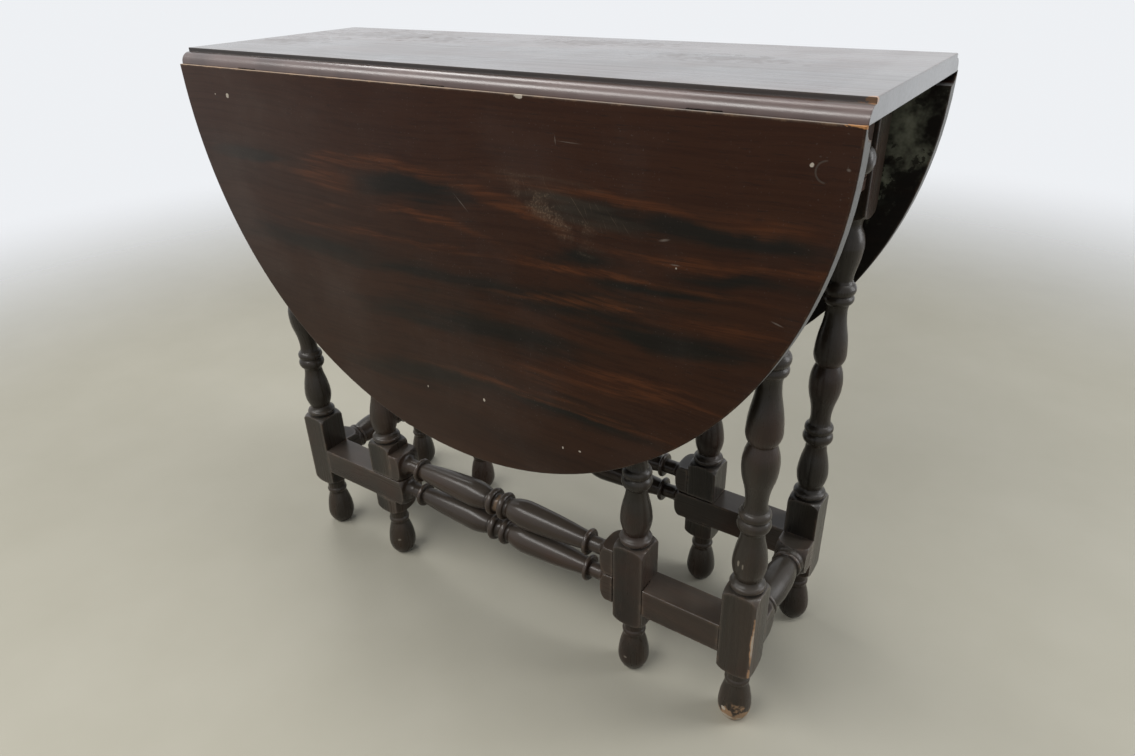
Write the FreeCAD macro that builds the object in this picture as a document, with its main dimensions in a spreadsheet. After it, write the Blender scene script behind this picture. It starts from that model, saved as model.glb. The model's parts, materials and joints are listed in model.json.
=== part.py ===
import FreeCAD, Part
import os
from types import SimpleNamespace

import Sketcher

# Gate-leg drop-leaf table. Origin on the floor under the middle of the top, X along the top,
# Y towards the back, Z up. Both leaves hang and both gates are closed.
# A side's pieces are drawn as for the back, and the front ones are turned half round the Z axis.

SIZES = {
    # Top and leaves
    "table_height": 756,
    "top_length": 864,
    "top_depth": 280,
    "board_thickness": 19,
    "quirk_depth": 4.5,
    "rule_radius": 13,
    "rule_clearance": 0.4,
    "leaf_drop": 445,
    "leaf_side": 10,
    "arris_round": 1.5,
    "leaf_stop_length": 70,
    "leaf_stop_width": 18,
    "leaf_stop_thickness": 11,
    "leaf_stop_reach": 336,
    "leaf_stop_offset": 43,
    # Leaf hinges
    "hinge_spacing": 300,
    "hinge_width": 32,
    "plate_thickness": 1.5,
    "plate_gap": 0.2,
    "top_plate_length": 34,
    "leaf_plate_length": 62,
    "knuckle_radius": 3,
    "knuckle_gap": 0.5,
    "hinge_pin_radius": 1.25,
    "hinge_pin_clearance": 0.05,
    "screw_radius": 1.6,
    "screw_head_radius": 3.2,
    "screw_length": 13,
    "screw_slot_width": 0.8,
    "screw_slot_depth": 0.8,
    # Legs
    "leg_square": 42,
    "leg_span": 724,
    "leg_depth": 204,
    "corner_round": 1.2,
    "lower_block_bottom": 88,
    "lower_block_top": 213,
    "base_ring_height": 15,
    "leg_waist": 408.5,
    "top_neck_height": 13,
    "upper_block_bottom": 592,
    "shoulder_height": 10,
    # Aprons and stretchers
    "apron_height": 63,
    "apron_thickness": 22,
    "end_apron_height": 109,
    "end_apron_thickness": 20,
    "end_recess": 5,
    "stretcher_axis": 136,
    "side_turned_length": 352,
    "end_turned_length": 104,
    "end_shoulder": 18,
    "tenon_length": 12,
    "tenon_thickness": 10,
    "tenon_shoulder": 6,
    # Gates
    "gate_span": 432,
    "gate_gap": 2,
    "gate_top_gap": 1.5,
    "gate_rail_height": 50,
    "gate_rail_thickness": 20,
    "gate_rail_drop": 6,
    "lap_clearance": 1,
    "pivot_radius": 6,
    "pivot_clearance": 0.05,
    "pivot_depth": 24,
    # Drawer and its carcase
    "drawer_gap": 1.5,
    "drawer_slip": 0.3,
    "drawer_front_thickness": 19,
    "drawer_length": 300,
    "drawer_box_width": 131,
    "drawer_side_thickness": 9,
    "drawer_side_height": 70,
    "drawer_back_drop": 6,
    "drawer_bottom_thickness": 5,
    "drawer_bottom_raise": 8,
    "drawer_groove_depth": 4,
    "drawer_rail_height": 24,
    "bearer_height": 12,
    "bearer_tenon_shoulder": 3,
    "runner_width": 21,
    "runner_height": 14,
    "guide_width": 5,
    "guide_height": 15,
    "guide_gap": 0.5,
    "stop_width": 24,
    "stop_height": 5,
    "stop_spacing": 60,
    "top_screw_length": 36,
    "top_screw_spacing": 260,
    "knob_radius": 14,
    "knob_length": 25,
    "knob_screw_depth": 12,
    # Cutting tools run past the wood by this much
    "overrun": 5,
}

# Turned outlines, as (share along the turning, share of half the square), each from its square inwards.
# A pair of points is an arc through the first one, and a single point is a straight step.
CORNER_SHARE = 1.42
LIP_SHARE = 0.95
SHOULDER_SHARES = (0.32, 1.26)
BASE_RING_SHARES = [
    (0.03, 0.82),
    (0.1, 0.82),
    ((0.36, 0.985), (0.66, 0.86)),
    ((0.8, 0.745), (1.0, 0.68)),
]
TOP_NECK_SHARES = [
    (0.05, 0.8),
    ((0.5, 0.67), (1.0, 0.68)),
]
LEG_HALF_SHARES = [
    ((0.055, 0.865), (0.128, 0.945)),
    ((0.205, 0.87), (0.285, 0.72)),
    ((0.325, 0.65), (0.363, 0.625)),
    (0.382, 0.7),
    ((0.427, 0.89), (0.467, 0.745)),
    ((0.5, 0.85), (0.534, 0.66)),
    ((0.556, 0.61), (0.592, 0.59)),
]
LOWER_VASE_SHARES = [
    ((0.662, 0.648), (0.722, 0.765)),
    ((0.783, 0.895), (0.85, 0.948)),
    ((0.93, 0.89), (1.0, 0.69)),
]
UPPER_VASE_SHARES = [
    ((0.655, 0.632), (0.725, 0.735)),
    ((0.81, 0.858), (0.897, 0.915)),
    ((0.958, 0.868), (1.0, 0.69)),
]
FOOT_SHARES = [
    (0.0, 0.55),
    ((0.098, 0.84), (0.302, 0.975)),
    ((0.523, 0.83), (0.665, 0.65)),
    (0.7, 0.65),
    ((0.75, 0.735), (0.8, 0.65)),
    (0.93, 0.65),
]
STRETCHER_HALF_SHARES = [
    ((0.023, 0.6), (0.068, 0.5)),
    (0.139, 0.5),
    (0.1425, 0.7),
    ((0.16, 0.86), (0.1775, 0.7)),
    (0.181, 0.58),
    ((0.44, 0.8), (0.7, 0.919)),
    ((0.81, 0.868), (0.886, 0.69)),
    ((0.9, 0.63), (0.918, 0.7)),
    ((0.9445, 0.943), (0.971, 0.7)),
    ((0.985, 0.58), (1.0, 0.565)),
]
END_HALF_SHARES = [
    ((0.08, 0.93), (0.14, 0.86)),
    (0.15, 0.8),
    ((0.2, 0.94), (0.25, 0.8)),
    (0.262, 0.76),
    ((0.6, 0.93), (1.0, 0.975)),
]
KNOB_SHARES = [
    (0.0, 0.6),
    ((0.2, 0.46), (0.45, 0.55)),
    (0.58, 0.95),
    ((0.66, 1.0), (0.74, 0.95)),
    ((0.92, 0.68), (1.0, 0.3)),
    (1.0, 0.0),
]
DIAGONAL_SHARE = 2 ** -0.5
MIDDLE_KNUCKLE_SHARE = 0.32
TOP_SCREW_SHARES = ((-0.28, -0.7), (0.28, -0.7))
LEAF_SCREW_SHARES = ((-0.28, -0.42), (0.28, -0.42), (0.0, -0.84))
HALF_TURN = {"back": 0, "front": 180}

doc = FreeCAD.newDocument("GateLegTable")
nodes = []


class Size:
    """A length: its number in millimetres and the sheet expression that gives it."""

    def __init__(self, number, text):
        self.number = number
        self.text = text

    def __add__(self, other):
        return Size(self.number + other.number, f"({self.text} + {other.text})")

    def __sub__(self, other):
        return Size(self.number - other.number, f"({self.text} - {other.text})")

    def __neg__(self):
        return Size(-self.number, f"(-{self.text})")

    def __mul__(self, factor):
        return Size(self.number * factor, f"({self.text} * {factor})")

    def __truediv__(self, factor):
        return Size(self.number / factor, f"({self.text} / {factor})")


def make_sheet():
    sheet = doc.addObject("Spreadsheet::Sheet", "Sizes")
    for row, (alias, number) in enumerate(SIZES.items(), 1):
        sheet.set(f"A{row}", alias)
        sheet.set(f"B{row}", str(number))
        sheet.setAlias(f"B{row}", alias)
    doc.recompute()
    return SimpleNamespace(**{alias: Size(number, f"Sizes.{alias}") for alias, number in SIZES.items()})


S = make_sheet()
ZERO = S.overrun * 0

# Places that several pieces share
HALF = S.leg_square / 2
LEG_X = S.leg_span / 2
LEG_Y = S.leg_depth / 2
GATE_X = S.gate_span / 2
INNER_X = LEG_X - HALF
INNER_Y = LEG_Y - HALF
HINGE_Y = S.top_depth / 2
HINGE_Z = S.table_height - S.quirk_depth - S.rule_radius
UNDER_DROP = S.board_thickness - S.quirk_depth - S.rule_radius
UNDER_TOP = S.table_height - S.board_thickness
APRON_BOTTOM = UNDER_TOP - S.apron_height
END_BOTTOM = UNDER_TOP - S.end_apron_height
STRETCHER_LOW = S.stretcher_axis - HALF
STRETCHER_HIGH = S.stretcher_axis + HALF
POST_BOTTOM = STRETCHER_HIGH + S.gate_gap
POST_TOP = APRON_BOTTOM - S.gate_gap
GATE_AXIS = POST_BOTTOM + HALF
GATE_RAIL_TOP = POST_TOP - S.gate_rail_drop
GATE_RAIL_LOW = GATE_RAIL_TOP - S.gate_rail_height
TENON = (-S.tenon_thickness / 2, S.tenon_thickness / 2)
TENON_RISE = HALF - S.tenon_shoulder
END_OUT = LEG_X + HALF - S.end_recess
END_TENON = END_OUT - S.end_apron_thickness / 2
BEARER_TOP = END_BOTTOM + S.bearer_height
RAIL_LOW = UNDER_TOP - S.drawer_rail_height
FRONT_IN = END_OUT - S.drawer_front_thickness
DRAWER_IN = FRONT_IN - S.drawer_length
DRAWER_LOW = BEARER_TOP + S.drawer_slip
BOX_OUT = S.drawer_box_width / 2
BOX_IN = BOX_OUT - S.drawer_side_thickness
GROOVE_LOW = DRAWER_LOW + S.drawer_bottom_raise
GROOVE_HIGH = GROOVE_LOW + S.drawer_bottom_thickness
RUNNER_OUT = BOX_OUT + S.guide_gap + S.guide_width
RUNNER_IN = RUNNER_OUT - S.runner_width
LEFT_IN = END_OUT - S.end_apron_thickness


def bind(piece, path, size):
    piece.setExpression(path, size.text)


def place(piece, x, y, z, tilt=None, turn=0):
    """Set a piece at x, y, z, tilted first, and for a turn of 180 on the other side of the table."""
    half_turn = FreeCAD.Rotation(FreeCAD.Vector(0, 0, 1), turn)
    tilted = half_turn.multiply(tilt) if tilt else half_turn
    piece.Placement = FreeCAD.Placement(FreeCAD.Vector(), tilted)
    bind(piece, "Placement.Base.x", -x if turn else x)
    bind(piece, "Placement.Base.y", -y if turn else y)
    bind(piece, "Placement.Base.z", z)


def node(piece, label):
    piece.Label = label
    nodes.append(piece)
    return piece


def span(sign, near, far):
    """The stretch from near to far on the side of zero that sign gives."""
    return (near, far) if sign > 0 else (-far, -near)


def about(middle, half):
    return (middle - half, middle + half)


def block(name, x, y, z):
    box = doc.addObject("Part::Box", name)
    for path, (low, high) in zip(("Length", "Width", "Height"), (x, y, z)):
        bind(box, path, high - low)
    place(box, x[0], y[0], z[0])
    return box


def rod(name, radius, length, x, y, z, tilt=None):
    cylinder = doc.addObject("Part::Cylinder", name)
    bind(cylinder, "Radius", radius)
    bind(cylinder, "Height", length)
    place(cylinder, x, y, z, tilt)
    return cylinder


def fuse(name, pieces):
    union = doc.addObject("Part::MultiFuse", name)
    union.Shapes = pieces
    return union


def group(name, pieces):
    compound = doc.addObject("Part::Compound", name)
    compound.Links = pieces
    return compound


def carve(name, base, tools):
    cut = doc.addObject("Part::Cut", name)
    cut.Base = base
    cut.Tool = tools[0] if len(tools) == 1 else group(f"{name}_tools", tools)
    return cut


# Tilts that lay a piece drawn along Z down along X or Y
ALONG_X = FreeCAD.Rotation(FreeCAD.Vector(0, 1, 0), 90)
ALONG_Y = FreeCAD.Rotation(FreeCAD.Vector(1, 0, 0), -90)
ON_EDGE = FreeCAD.Rotation(FreeCAD.Vector(0, 0, 1), 90)


def new_sketch(body, name, role, offset=None):
    sketch = body.newObject("Sketcher::SketchObject", name)
    plane = next(item for item in body.Origin.OriginFeatures if item.Role == role)
    sketch.AttachmentSupport = [(plane, "")]
    sketch.MapMode = "FlatFace"
    if offset:
        bind(sketch, "AttachmentOffset.Base.z", offset)
    return sketch


def draw(sketch, outline):
    """Close an outline of points, where a pair of points is an arc through the first to the second."""
    vector = lambda point: FreeCAD.Vector(point[0].number, point[1].number, 0)
    rules = []
    edges = []
    last = outline[0]
    for item in outline[1:] + outline[:1]:
        is_arc = isinstance(item[0], tuple)
        end = item[1] if is_arc else item
        first, second = 1, 2
        if is_arc:
            ends = [vector(last), vector(end)]
            middle = vector(item[0])
            if (middle - ends[0]).cross(ends[1] - ends[0]).z < 0:
                ends.reverse()
                first, second = 2, 1
            edge = sketch.addGeometry(Part.Arc(ends[0], middle, ends[1]), False)
            dot = sketch.addGeometry(Part.Point(middle), True)
            rules += pin_rules(dot, 1, item[0])
            rules.append((Sketcher.Constraint("PointOnObject", dot, 1, edge), None))
        else:
            edge = sketch.addGeometry(Part.LineSegment(vector(last), vector(end)), False)
        rules += pin_rules(edge, first, last)
        edges.append((edge, first, second))
        last = end
    for (edge, _, second), (after, first, _) in zip(edges, edges[1:] + edges[:1]):
        rules.append((Sketcher.Constraint("Coincident", edge, second, after, first), None))
    indexes = sketch.addConstraint([rule for rule, _ in rules])
    for index, (_, size) in zip(indexes, rules):
        if size:
            bind(sketch, f"Constraints[{index}]", size)


def pin_rules(edge, end, point):
    """Constraints that hold one end of a sketch edge at a point of sizes."""
    rules = []
    for kind, axis, size in (("DistanceX", -2, point[0]), ("DistanceY", -1, point[1])):
        if size.number:
            rules.append((Sketcher.Constraint(kind, -1, 1, edge, end, size.number), size))
        else:
            rules.append((Sketcher.Constraint("PointOnObject", edge, end, axis), None))
    return rules


def pad(body, sketch, length, side="One side", backwards=False):
    feature = body.newObject("PartDesign::Pad", f"{sketch.Name}_pad")
    feature.Profile = sketch
    feature.SideType = side
    feature.Reversed = backwards
    bind(feature, "Length", length)
    return feature


def rectangle(x, y):
    return [(x[0], y[0]), (x[1], y[0]), (x[1], y[1]), (x[0], y[1])]


def rounded_square(half, radius):
    """A square about the origin, with its corners rounded."""
    flat = half - radius
    bend = flat + radius * DIAGONAL_SHARE
    return [
        (-half, -flat),
        ((-bend, -bend), (-flat, -half)),
        (flat, -half),
        ((bend, -bend), (half, -flat)),
        (half, flat),
        ((bend, bend), (flat, half)),
        (-flat, half),
        ((-bend, bend), (-half, flat)),
    ]


def square_stock(name, low, high):
    """A square length of wood standing on Z, from low to high."""
    body = doc.addObject("PartDesign::Body", name)
    sketch = new_sketch(body, f"{name}_square", "XY_Plane", low)
    draw(sketch, rounded_square(HALF, S.corner_round))
    pad(body, sketch, high - low)
    return body


def add_tenon(body, name, end, backwards):
    """A tenon beyond the end of square stock whose axis is Z, tall across X."""
    sketch = new_sketch(body, f"{body.Name}_{name}", "XY_Plane", end)
    draw(sketch, rectangle((-TENON_RISE, TENON_RISE), TENON))
    pad(body, sketch, S.tenon_length, backwards=backwards)


def turn_away(body, outline, name):
    """Turn the corners and waste outside an outline off the square stock, round its Z axis."""
    sketch = new_sketch(body, f"{body.Name}_{name}", "XZ_Plane")
    draw(sketch, outline)
    groove = body.newObject("PartDesign::Groove", f"{body.Name}_{name}_groove")
    groove.Profile = sketch
    groove.ReferenceAxis = (sketch, ["V_Axis"])
    groove.Angle = 360


def turned_points(shares, start, step, radius=HALF):
    """Outline items at start plus step times each first share, at each second share of the radius."""
    def point(pair):
        return (radius * pair[1], start + step * pair[0])

    def is_arc(item):
        return isinstance(item[0], tuple)

    return [(point(item[0]), point(item[1])) if is_arc(item) else point(item) for item in shares]


def reversed_run(outline):
    """The same outline walked the other way."""
    walked = [outline[-1][1] if isinstance(outline[-1][0], tuple) else outline[-1]]
    for item, before in zip(outline[:0:-1], outline[-2::-1]):
        goal = before[1] if isinstance(before[0], tuple) else before
        walked.append((item[0], goal) if isinstance(item[0], tuple) else goal)
    return walked


def shoulder(place_on_axis, step):
    """The rounded corners where a turning meets the square: from the corner in to the lip."""
    corner = (HALF * CORNER_SHARE, place_on_axis - step)
    round_point = (HALF * SHOULDER_SHARES[1], place_on_axis - step * SHOULDER_SHARES[0])
    return [corner, (round_point, (HALF * LIP_SHARE, place_on_axis))]


def spindle_outline(low, high, shares, slope):
    """The waste round a turning between two squares, the same from both ends to the middle."""
    half = (high - low) / 2
    lower = shoulder(low, slope) + turned_points(shares, low, half)
    upper = shoulder(high, -slope) + turned_points(shares, high, -half)
    return lower + reversed_run(upper)[1:]


def leg_outline():
    """The waste round a leg: a ring on the lower block, two halves meeting at the waist, a neck above."""
    low = S.lower_block_top
    high = S.upper_block_bottom
    low_neck = low + S.base_ring_height
    high_neck = high - S.top_neck_height
    lower = shoulder(low, S.shoulder_height)
    lower += turned_points(BASE_RING_SHARES, low, S.base_ring_height)
    lower += turned_points(LEG_HALF_SHARES + LOWER_VASE_SHARES, low_neck, S.leg_waist - low_neck)
    upper = shoulder(high, -S.shoulder_height)
    upper += turned_points(TOP_NECK_SHARES, high, -S.top_neck_height)
    upper += turned_points(LEG_HALF_SHARES + UPPER_VASE_SHARES, high_neck, S.leg_waist - high_neck)
    return lower + reversed_run(upper)[1:]


def foot_outline():
    rise = turned_points(FOOT_SHARES, ZERO, S.lower_block_bottom)
    floor_corner = (HALF * CORNER_SHARE, ZERO)
    return [floor_corner] + rise + reversed_run(shoulder(S.lower_block_bottom, -S.shoulder_height))


def post(name, low, high, has_foot, has_turning):
    body = square_stock(name, low, high)
    if has_foot:
        turn_away(body, foot_outline(), "foot")
    if has_turning:
        turn_away(body, leg_outline(), "turning")
    return body


def spindle(name, length, turned_length, shares, slope):
    """A stretcher standing on Z: square ends with tenons, shoulders of a given slope and a turned middle."""
    body = square_stock(name, ZERO, length)
    low = (length - turned_length) / 2
    turn_away(body, spindle_outline(low, low + turned_length, shares, slope), "turning")
    add_tenon(body, "low_tenon", ZERO, True)
    add_tenon(body, "high_tenon", length, False)
    return body


def mortise(name, across_x, sign, middle, z):
    """A blind hole for a tenon in the face of a post, across X or Y, about a middle on the other axis."""
    depth = span(sign, HALF - S.tenon_length, HALF)
    width = about(middle, S.tenon_thickness / 2)
    return block(name, depth, width, z) if across_x else block(name, width, depth, z)


def bar_with_tenons(name, x, y, z, tenon_z, tenon_places):
    """A rectangular rail along X or Y with a tenon block at each end."""
    tenons = [block(f"{name}_tenon_{n}", *sides, tenon_z) for n, sides in enumerate(tenon_places)]
    return fuse(name, [block(f"{name}_bar", x, y, z)] + tenons)


STRETCHER_TENON = about(S.stretcher_axis, TENON_RISE)
GATE_TENON = about(GATE_AXIS, TENON_RISE)
GATE_RAIL_TENON = (GATE_RAIL_LOW + S.tenon_shoulder, GATE_RAIL_TOP - S.tenon_shoulder)
APRON_TENON = (APRON_BOTTOM + S.tenon_shoulder, UNDER_TOP - S.tenon_shoulder)
END_APRON_TENON = (END_BOTTOM + S.tenon_shoulder, UNDER_TOP - S.tenon_shoulder)
RAIL_TENON = (RAIL_LOW + S.tenon_shoulder, UNDER_TOP - S.tenon_shoulder)
BEARER_TENON = (END_BOTTOM + S.bearer_tenon_shoulder, BEARER_TOP - S.bearer_tenon_shoulder)


def corner_leg(label, end, side):
    """A leg with mortises for its apron, its stretchers and the rails of its end."""
    stock = post(f"{label}_stock", ZERO, UNDER_TOP, True, True)
    end_middle = (END_TENON - LEG_X) * end
    tools = [
        mortise(f"{label}_side_stretcher", True, -end, ZERO, STRETCHER_TENON),
        mortise(f"{label}_end_stretcher", False, -side, ZERO, STRETCHER_TENON),
        mortise(f"{label}_apron", True, -end, ZERO, APRON_TENON),
    ]
    if end < 0:
        tools.append(mortise(f"{label}_end_apron", False, -side, end_middle, END_APRON_TENON))
    else:
        tools.append(mortise(f"{label}_rail", False, -side, end_middle, RAIL_TENON))
        tools.append(mortise(f"{label}_bearer", False, -side, end_middle, BEARER_TENON))
    leg = node(carve(label, stock, tools), label)
    place(leg, LEG_X * end, LEG_Y * side, ZERO)


def lap_gap(name, y, z):
    """The room that a closed swing leg needs where it crosses an apron or a stretcher."""
    return block(name, about(-GATE_X, HALF + S.lap_clearance), y, z)


def pivot_bore(name, low, high):
    return rod(name, S.pivot_radius + S.pivot_clearance, high - low, GATE_X, LEG_Y, low)


def apron(label, turn):
    half = S.apron_thickness / 2
    y = about(LEG_Y, half)
    tenon_y = about(LEG_Y, S.tenon_thickness / 2)
    ends = [(span(sign, INNER_X, INNER_X + S.tenon_length), tenon_y) for sign in (-1, 1)]
    x = (-INNER_X, INNER_X)
    z = (APRON_BOTTOM, UNDER_TOP)
    bar = bar_with_tenons(f"{label}_stock", x, y, z, APRON_TENON, ends)
    tools = [
        lap_gap(f"{label}_lap", (LEG_Y, y[1] + S.overrun), (z[0] - S.overrun, z[1] + S.overrun)),
        pivot_bore(f"{label}_bore", APRON_BOTTOM - S.overrun, APRON_BOTTOM + S.pivot_depth + S.lap_clearance),
    ]
    place(node(carve(label, bar, tools), label), ZERO, ZERO, ZERO, turn=turn)


def side_stretcher(label, turn):
    stock = spindle(
        f"{label}_stock", INNER_X * 2, S.side_turned_length, STRETCHER_HALF_SHARES, S.shoulder_height
    )
    place(stock, -INNER_X, LEG_Y, S.stretcher_axis, ALONG_X)
    past_face = (STRETCHER_LOW - S.overrun, STRETCHER_HIGH + S.overrun)
    bore_floor = STRETCHER_HIGH - S.pivot_depth - S.lap_clearance
    tools = [
        lap_gap(f"{label}_lap", (LEG_Y, LEG_Y + HALF + S.overrun), past_face),
        pivot_bore(f"{label}_bore", bore_floor, STRETCHER_HIGH + S.overrun),
    ]
    place(node(carve(label, stock, tools), label), ZERO, ZERO, ZERO, turn=turn)


def end_stretcher(label, end):
    stretcher = spindle(label, INNER_Y * 2, S.end_turned_length, END_HALF_SHARES, S.end_shoulder)
    place(node(stretcher, label), LEG_X * end, -INNER_Y, S.stretcher_axis, ALONG_Y.multiply(ON_EDGE))


def left_end_apron():
    x = (-END_OUT, -LEFT_IN)
    y = (-INNER_Y, INNER_Y)
    z = (END_BOTTOM, UNDER_TOP)
    tenon_x = about(-END_TENON, S.tenon_thickness / 2)
    ends = [(tenon_x, span(sign, INNER_Y, INNER_Y + S.tenon_length)) for sign in (-1, 1)]
    node(bar_with_tenons("left_end_apron", x, y, z, END_APRON_TENON, ends), "left_end_apron")


def drawer_opening_rail(label, z, tenon_z):
    """A rail over or under the drawer front, between the two right legs."""
    tenon_x = about(END_TENON, S.tenon_thickness / 2)
    ends = [(tenon_x, span(sign, INNER_Y, INNER_Y + S.tenon_length)) for sign in (-1, 1)]
    rail = bar_with_tenons(label, (INNER_X, END_OUT), (-INNER_Y, INNER_Y), z, tenon_z, ends)
    node(rail, label)


def pivot_foot(label, turn):
    foot = node(post(label, ZERO, STRETCHER_LOW, True, False), label)
    place(foot, GATE_X, LEG_Y, ZERO, turn=turn)


def pivot_pins(label, turn):
    """The two round pins that a gate turns on, in the stretcher below and the apron above."""
    lower = rod(f"{label}_lower", S.pivot_radius, POST_BOTTOM - STRETCHER_HIGH + S.pivot_depth * 2,
                GATE_X, LEG_Y, STRETCHER_HIGH - S.pivot_depth)
    upper = rod(f"{label}_upper", S.pivot_radius, APRON_BOTTOM - POST_TOP + S.pivot_depth * 2,
                GATE_X, LEG_Y, POST_TOP - S.pivot_depth)
    place(node(group(label, [lower, upper]), label), ZERO, ZERO, ZERO, turn=turn)


def pivot_post(label, turn):
    stock = post(f"{label}_stock", POST_BOTTOM, POST_TOP, False, True)
    tools = [
        rod(f"{label}_lower_bore", S.pivot_radius, S.pivot_depth, ZERO, ZERO, POST_BOTTOM),
        rod(f"{label}_upper_bore", S.pivot_radius, S.pivot_depth, ZERO, ZERO, POST_TOP - S.pivot_depth),
        mortise(f"{label}_stretcher", True, -1, ZERO, GATE_TENON),
        mortise(f"{label}_rail", True, -1, ZERO, GATE_RAIL_TENON),
    ]
    place(node(carve(label, stock, tools), label), GATE_X, LEG_Y, ZERO, turn=turn)


def swing_leg(label, turn):
    """The gate's outer leg, half cut away where it closes over the stretcher and the apron."""
    top = UNDER_TOP - S.gate_top_gap
    stock = post(f"{label}_stock", ZERO, top, True, True)
    across = (-HALF - S.overrun, HALF + S.overrun)
    inner_half = (-HALF - S.overrun, S.lap_clearance)
    tools = [
        block(f"{label}_low_lap", across, inner_half, about(S.stretcher_axis, HALF + S.lap_clearance)),
        block(f"{label}_high_lap", across, inner_half, (APRON_BOTTOM - S.lap_clearance, top + S.overrun)),
        mortise(f"{label}_stretcher", True, 1, ZERO, GATE_TENON),
        mortise(f"{label}_rail", True, 1, ZERO, GATE_RAIL_TENON),
    ]
    place(node(carve(label, stock, tools), label), -GATE_X, LEG_Y, ZERO, turn=turn)


def gate_rail(label, turn):
    reach = GATE_X - HALF
    y = about(LEG_Y, S.gate_rail_thickness / 2)
    tenon_y = about(LEG_Y, S.tenon_thickness / 2)
    ends = [(span(sign, reach, reach + S.tenon_length), tenon_y) for sign in (-1, 1)]
    rail = bar_with_tenons(label, (-reach, reach), y, (GATE_RAIL_LOW, GATE_RAIL_TOP), GATE_RAIL_TENON, ends)
    place(node(rail, label), ZERO, ZERO, ZERO, turn=turn)


def gate_stretcher(label, turn):
    reach = GATE_X - HALF
    stretcher = spindle(label, reach * 2, S.side_turned_length, STRETCHER_HALF_SHARES, S.shoulder_height)
    place(node(stretcher, label), -reach, LEG_Y, GATE_AXIS, ALONG_X, turn)


# Leaf hinges, drawn about the line of their pins: Y outwards, Z up
HINGE_PLACES = (-S.hinge_spacing, ZERO, S.hinge_spacing)
HINGE_HALF = S.hinge_width / 2
MIDDLE_HALF = HINGE_HALF * MIDDLE_KNUCKLE_SHARE
KNUCKLE_CLEAR = S.knuckle_radius + S.knuckle_gap
PLATE = (-UNDER_DROP, S.plate_thickness - UNDER_DROP)


def at_hinge_line(piece, turn):
    place(piece, ZERO, HINGE_Y, HINGE_Z, turn=turn)
    return piece


def screw_blank(name, length, x, y, z, tilt=None):
    """A countersunk screw pointing up from its flush head."""
    head = doc.addObject("Part::Cone", f"{name}_head")
    bind(head, "Radius1", S.screw_head_radius)
    bind(head, "Radius2", S.screw_radius)
    bind(head, "Height", S.plate_thickness)
    shank = rod(f"{name}_shank", S.screw_radius, length, ZERO, ZERO, ZERO)
    blank = fuse(name, [head, shank])
    place(blank, x, y, z, tilt)
    return blank


def slotted(name, blank, x, y, z):
    """A screw with the slot cut across its head, at the head's middle."""
    return carve(f"{name}_slotted", blank, [block(f"{name}_slot", x, y, z)])


def top_screw_blanks(name):
    blanks = []
    for number, middle in enumerate(HINGE_PLACES):
        for letter, (share_x, share_y) in zip("ab", TOP_SCREW_SHARES):
            x = middle + S.hinge_width * share_x
            y = S.top_plate_length * share_y
            blank = screw_blank(f"{name}_{number}_{letter}", S.screw_length, x, y, -UNDER_DROP)
            blanks.append((blank, x, y))
    return blanks


def leaf_screw_blanks(name):
    blanks = []
    for number, middle in enumerate(HINGE_PLACES):
        for letter, (share_x, share_z) in zip("abc", LEAF_SCREW_SHARES):
            x = middle + S.hinge_width * share_x
            z = S.leaf_plate_length * share_z
            blank = screw_blank(f"{name}_{number}_{letter}", S.screw_length, x, -UNDER_DROP, z, ALONG_Y)
            blanks.append((blank, x, z))
    return blanks


def slot_sides(middle):
    return about(middle, S.screw_slot_width / 2)


def head_sides(middle):
    return about(middle, S.screw_head_radius)


def slot_depth():
    return (-UNDER_DROP - S.overrun, S.screw_slot_depth - UNDER_DROP)


def hinge_knuckles(name, number, middle, ends):
    """Round knuckles on the pin line between pairs of places along X."""
    knuckles = []
    for n, (low, high) in enumerate(ends):
        knuckle = f"{name}_{number}_knuckle_{n}"
        knuckles.append(rod(knuckle, S.knuckle_radius, high - low, middle + low, ZERO, ZERO, ALONG_X))
    return knuckles


def pin_bore(name, middle, radius):
    low = middle - HINGE_HALF - S.overrun
    return rod(name, radius, S.hinge_width + S.overrun * 2, low, ZERO, ZERO, ALONG_X)


def top_plates(label, turn, blanks):
    """The short plates let into the underside of the top, each with two knuckles."""
    plates = []
    ends = [span(sign, MIDDLE_HALF + S.knuckle_gap, HINGE_HALF) for sign in (-1, 1)]
    flap_y = (-S.top_plate_length, -KNUCKLE_CLEAR)
    arm_y = (-KNUCKLE_CLEAR, ZERO)
    for number, middle in enumerate(HINGE_PLACES):
        name = f"{label}_{number}"
        pieces = hinge_knuckles(label, number, middle, ends)
        pieces.append(block(f"{name}_flap", about(middle, HINGE_HALF), flap_y, PLATE))
        for n, (low, high) in enumerate(ends):
            pieces.append(block(f"{name}_arm_{n}", (middle + low, middle + high), arm_y, PLATE))
        screws = [blank for blank, _, _ in blanks[number * 2:number * 2 + 2]]
        bore = pin_bore(f"{name}_bore", middle, S.hinge_pin_radius)
        plates.append(carve(f"{name}_cut", fuse(f"{name}_blank", pieces), screws + [bore]))
    node(at_hinge_line(group(label, plates), turn), label)


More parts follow.
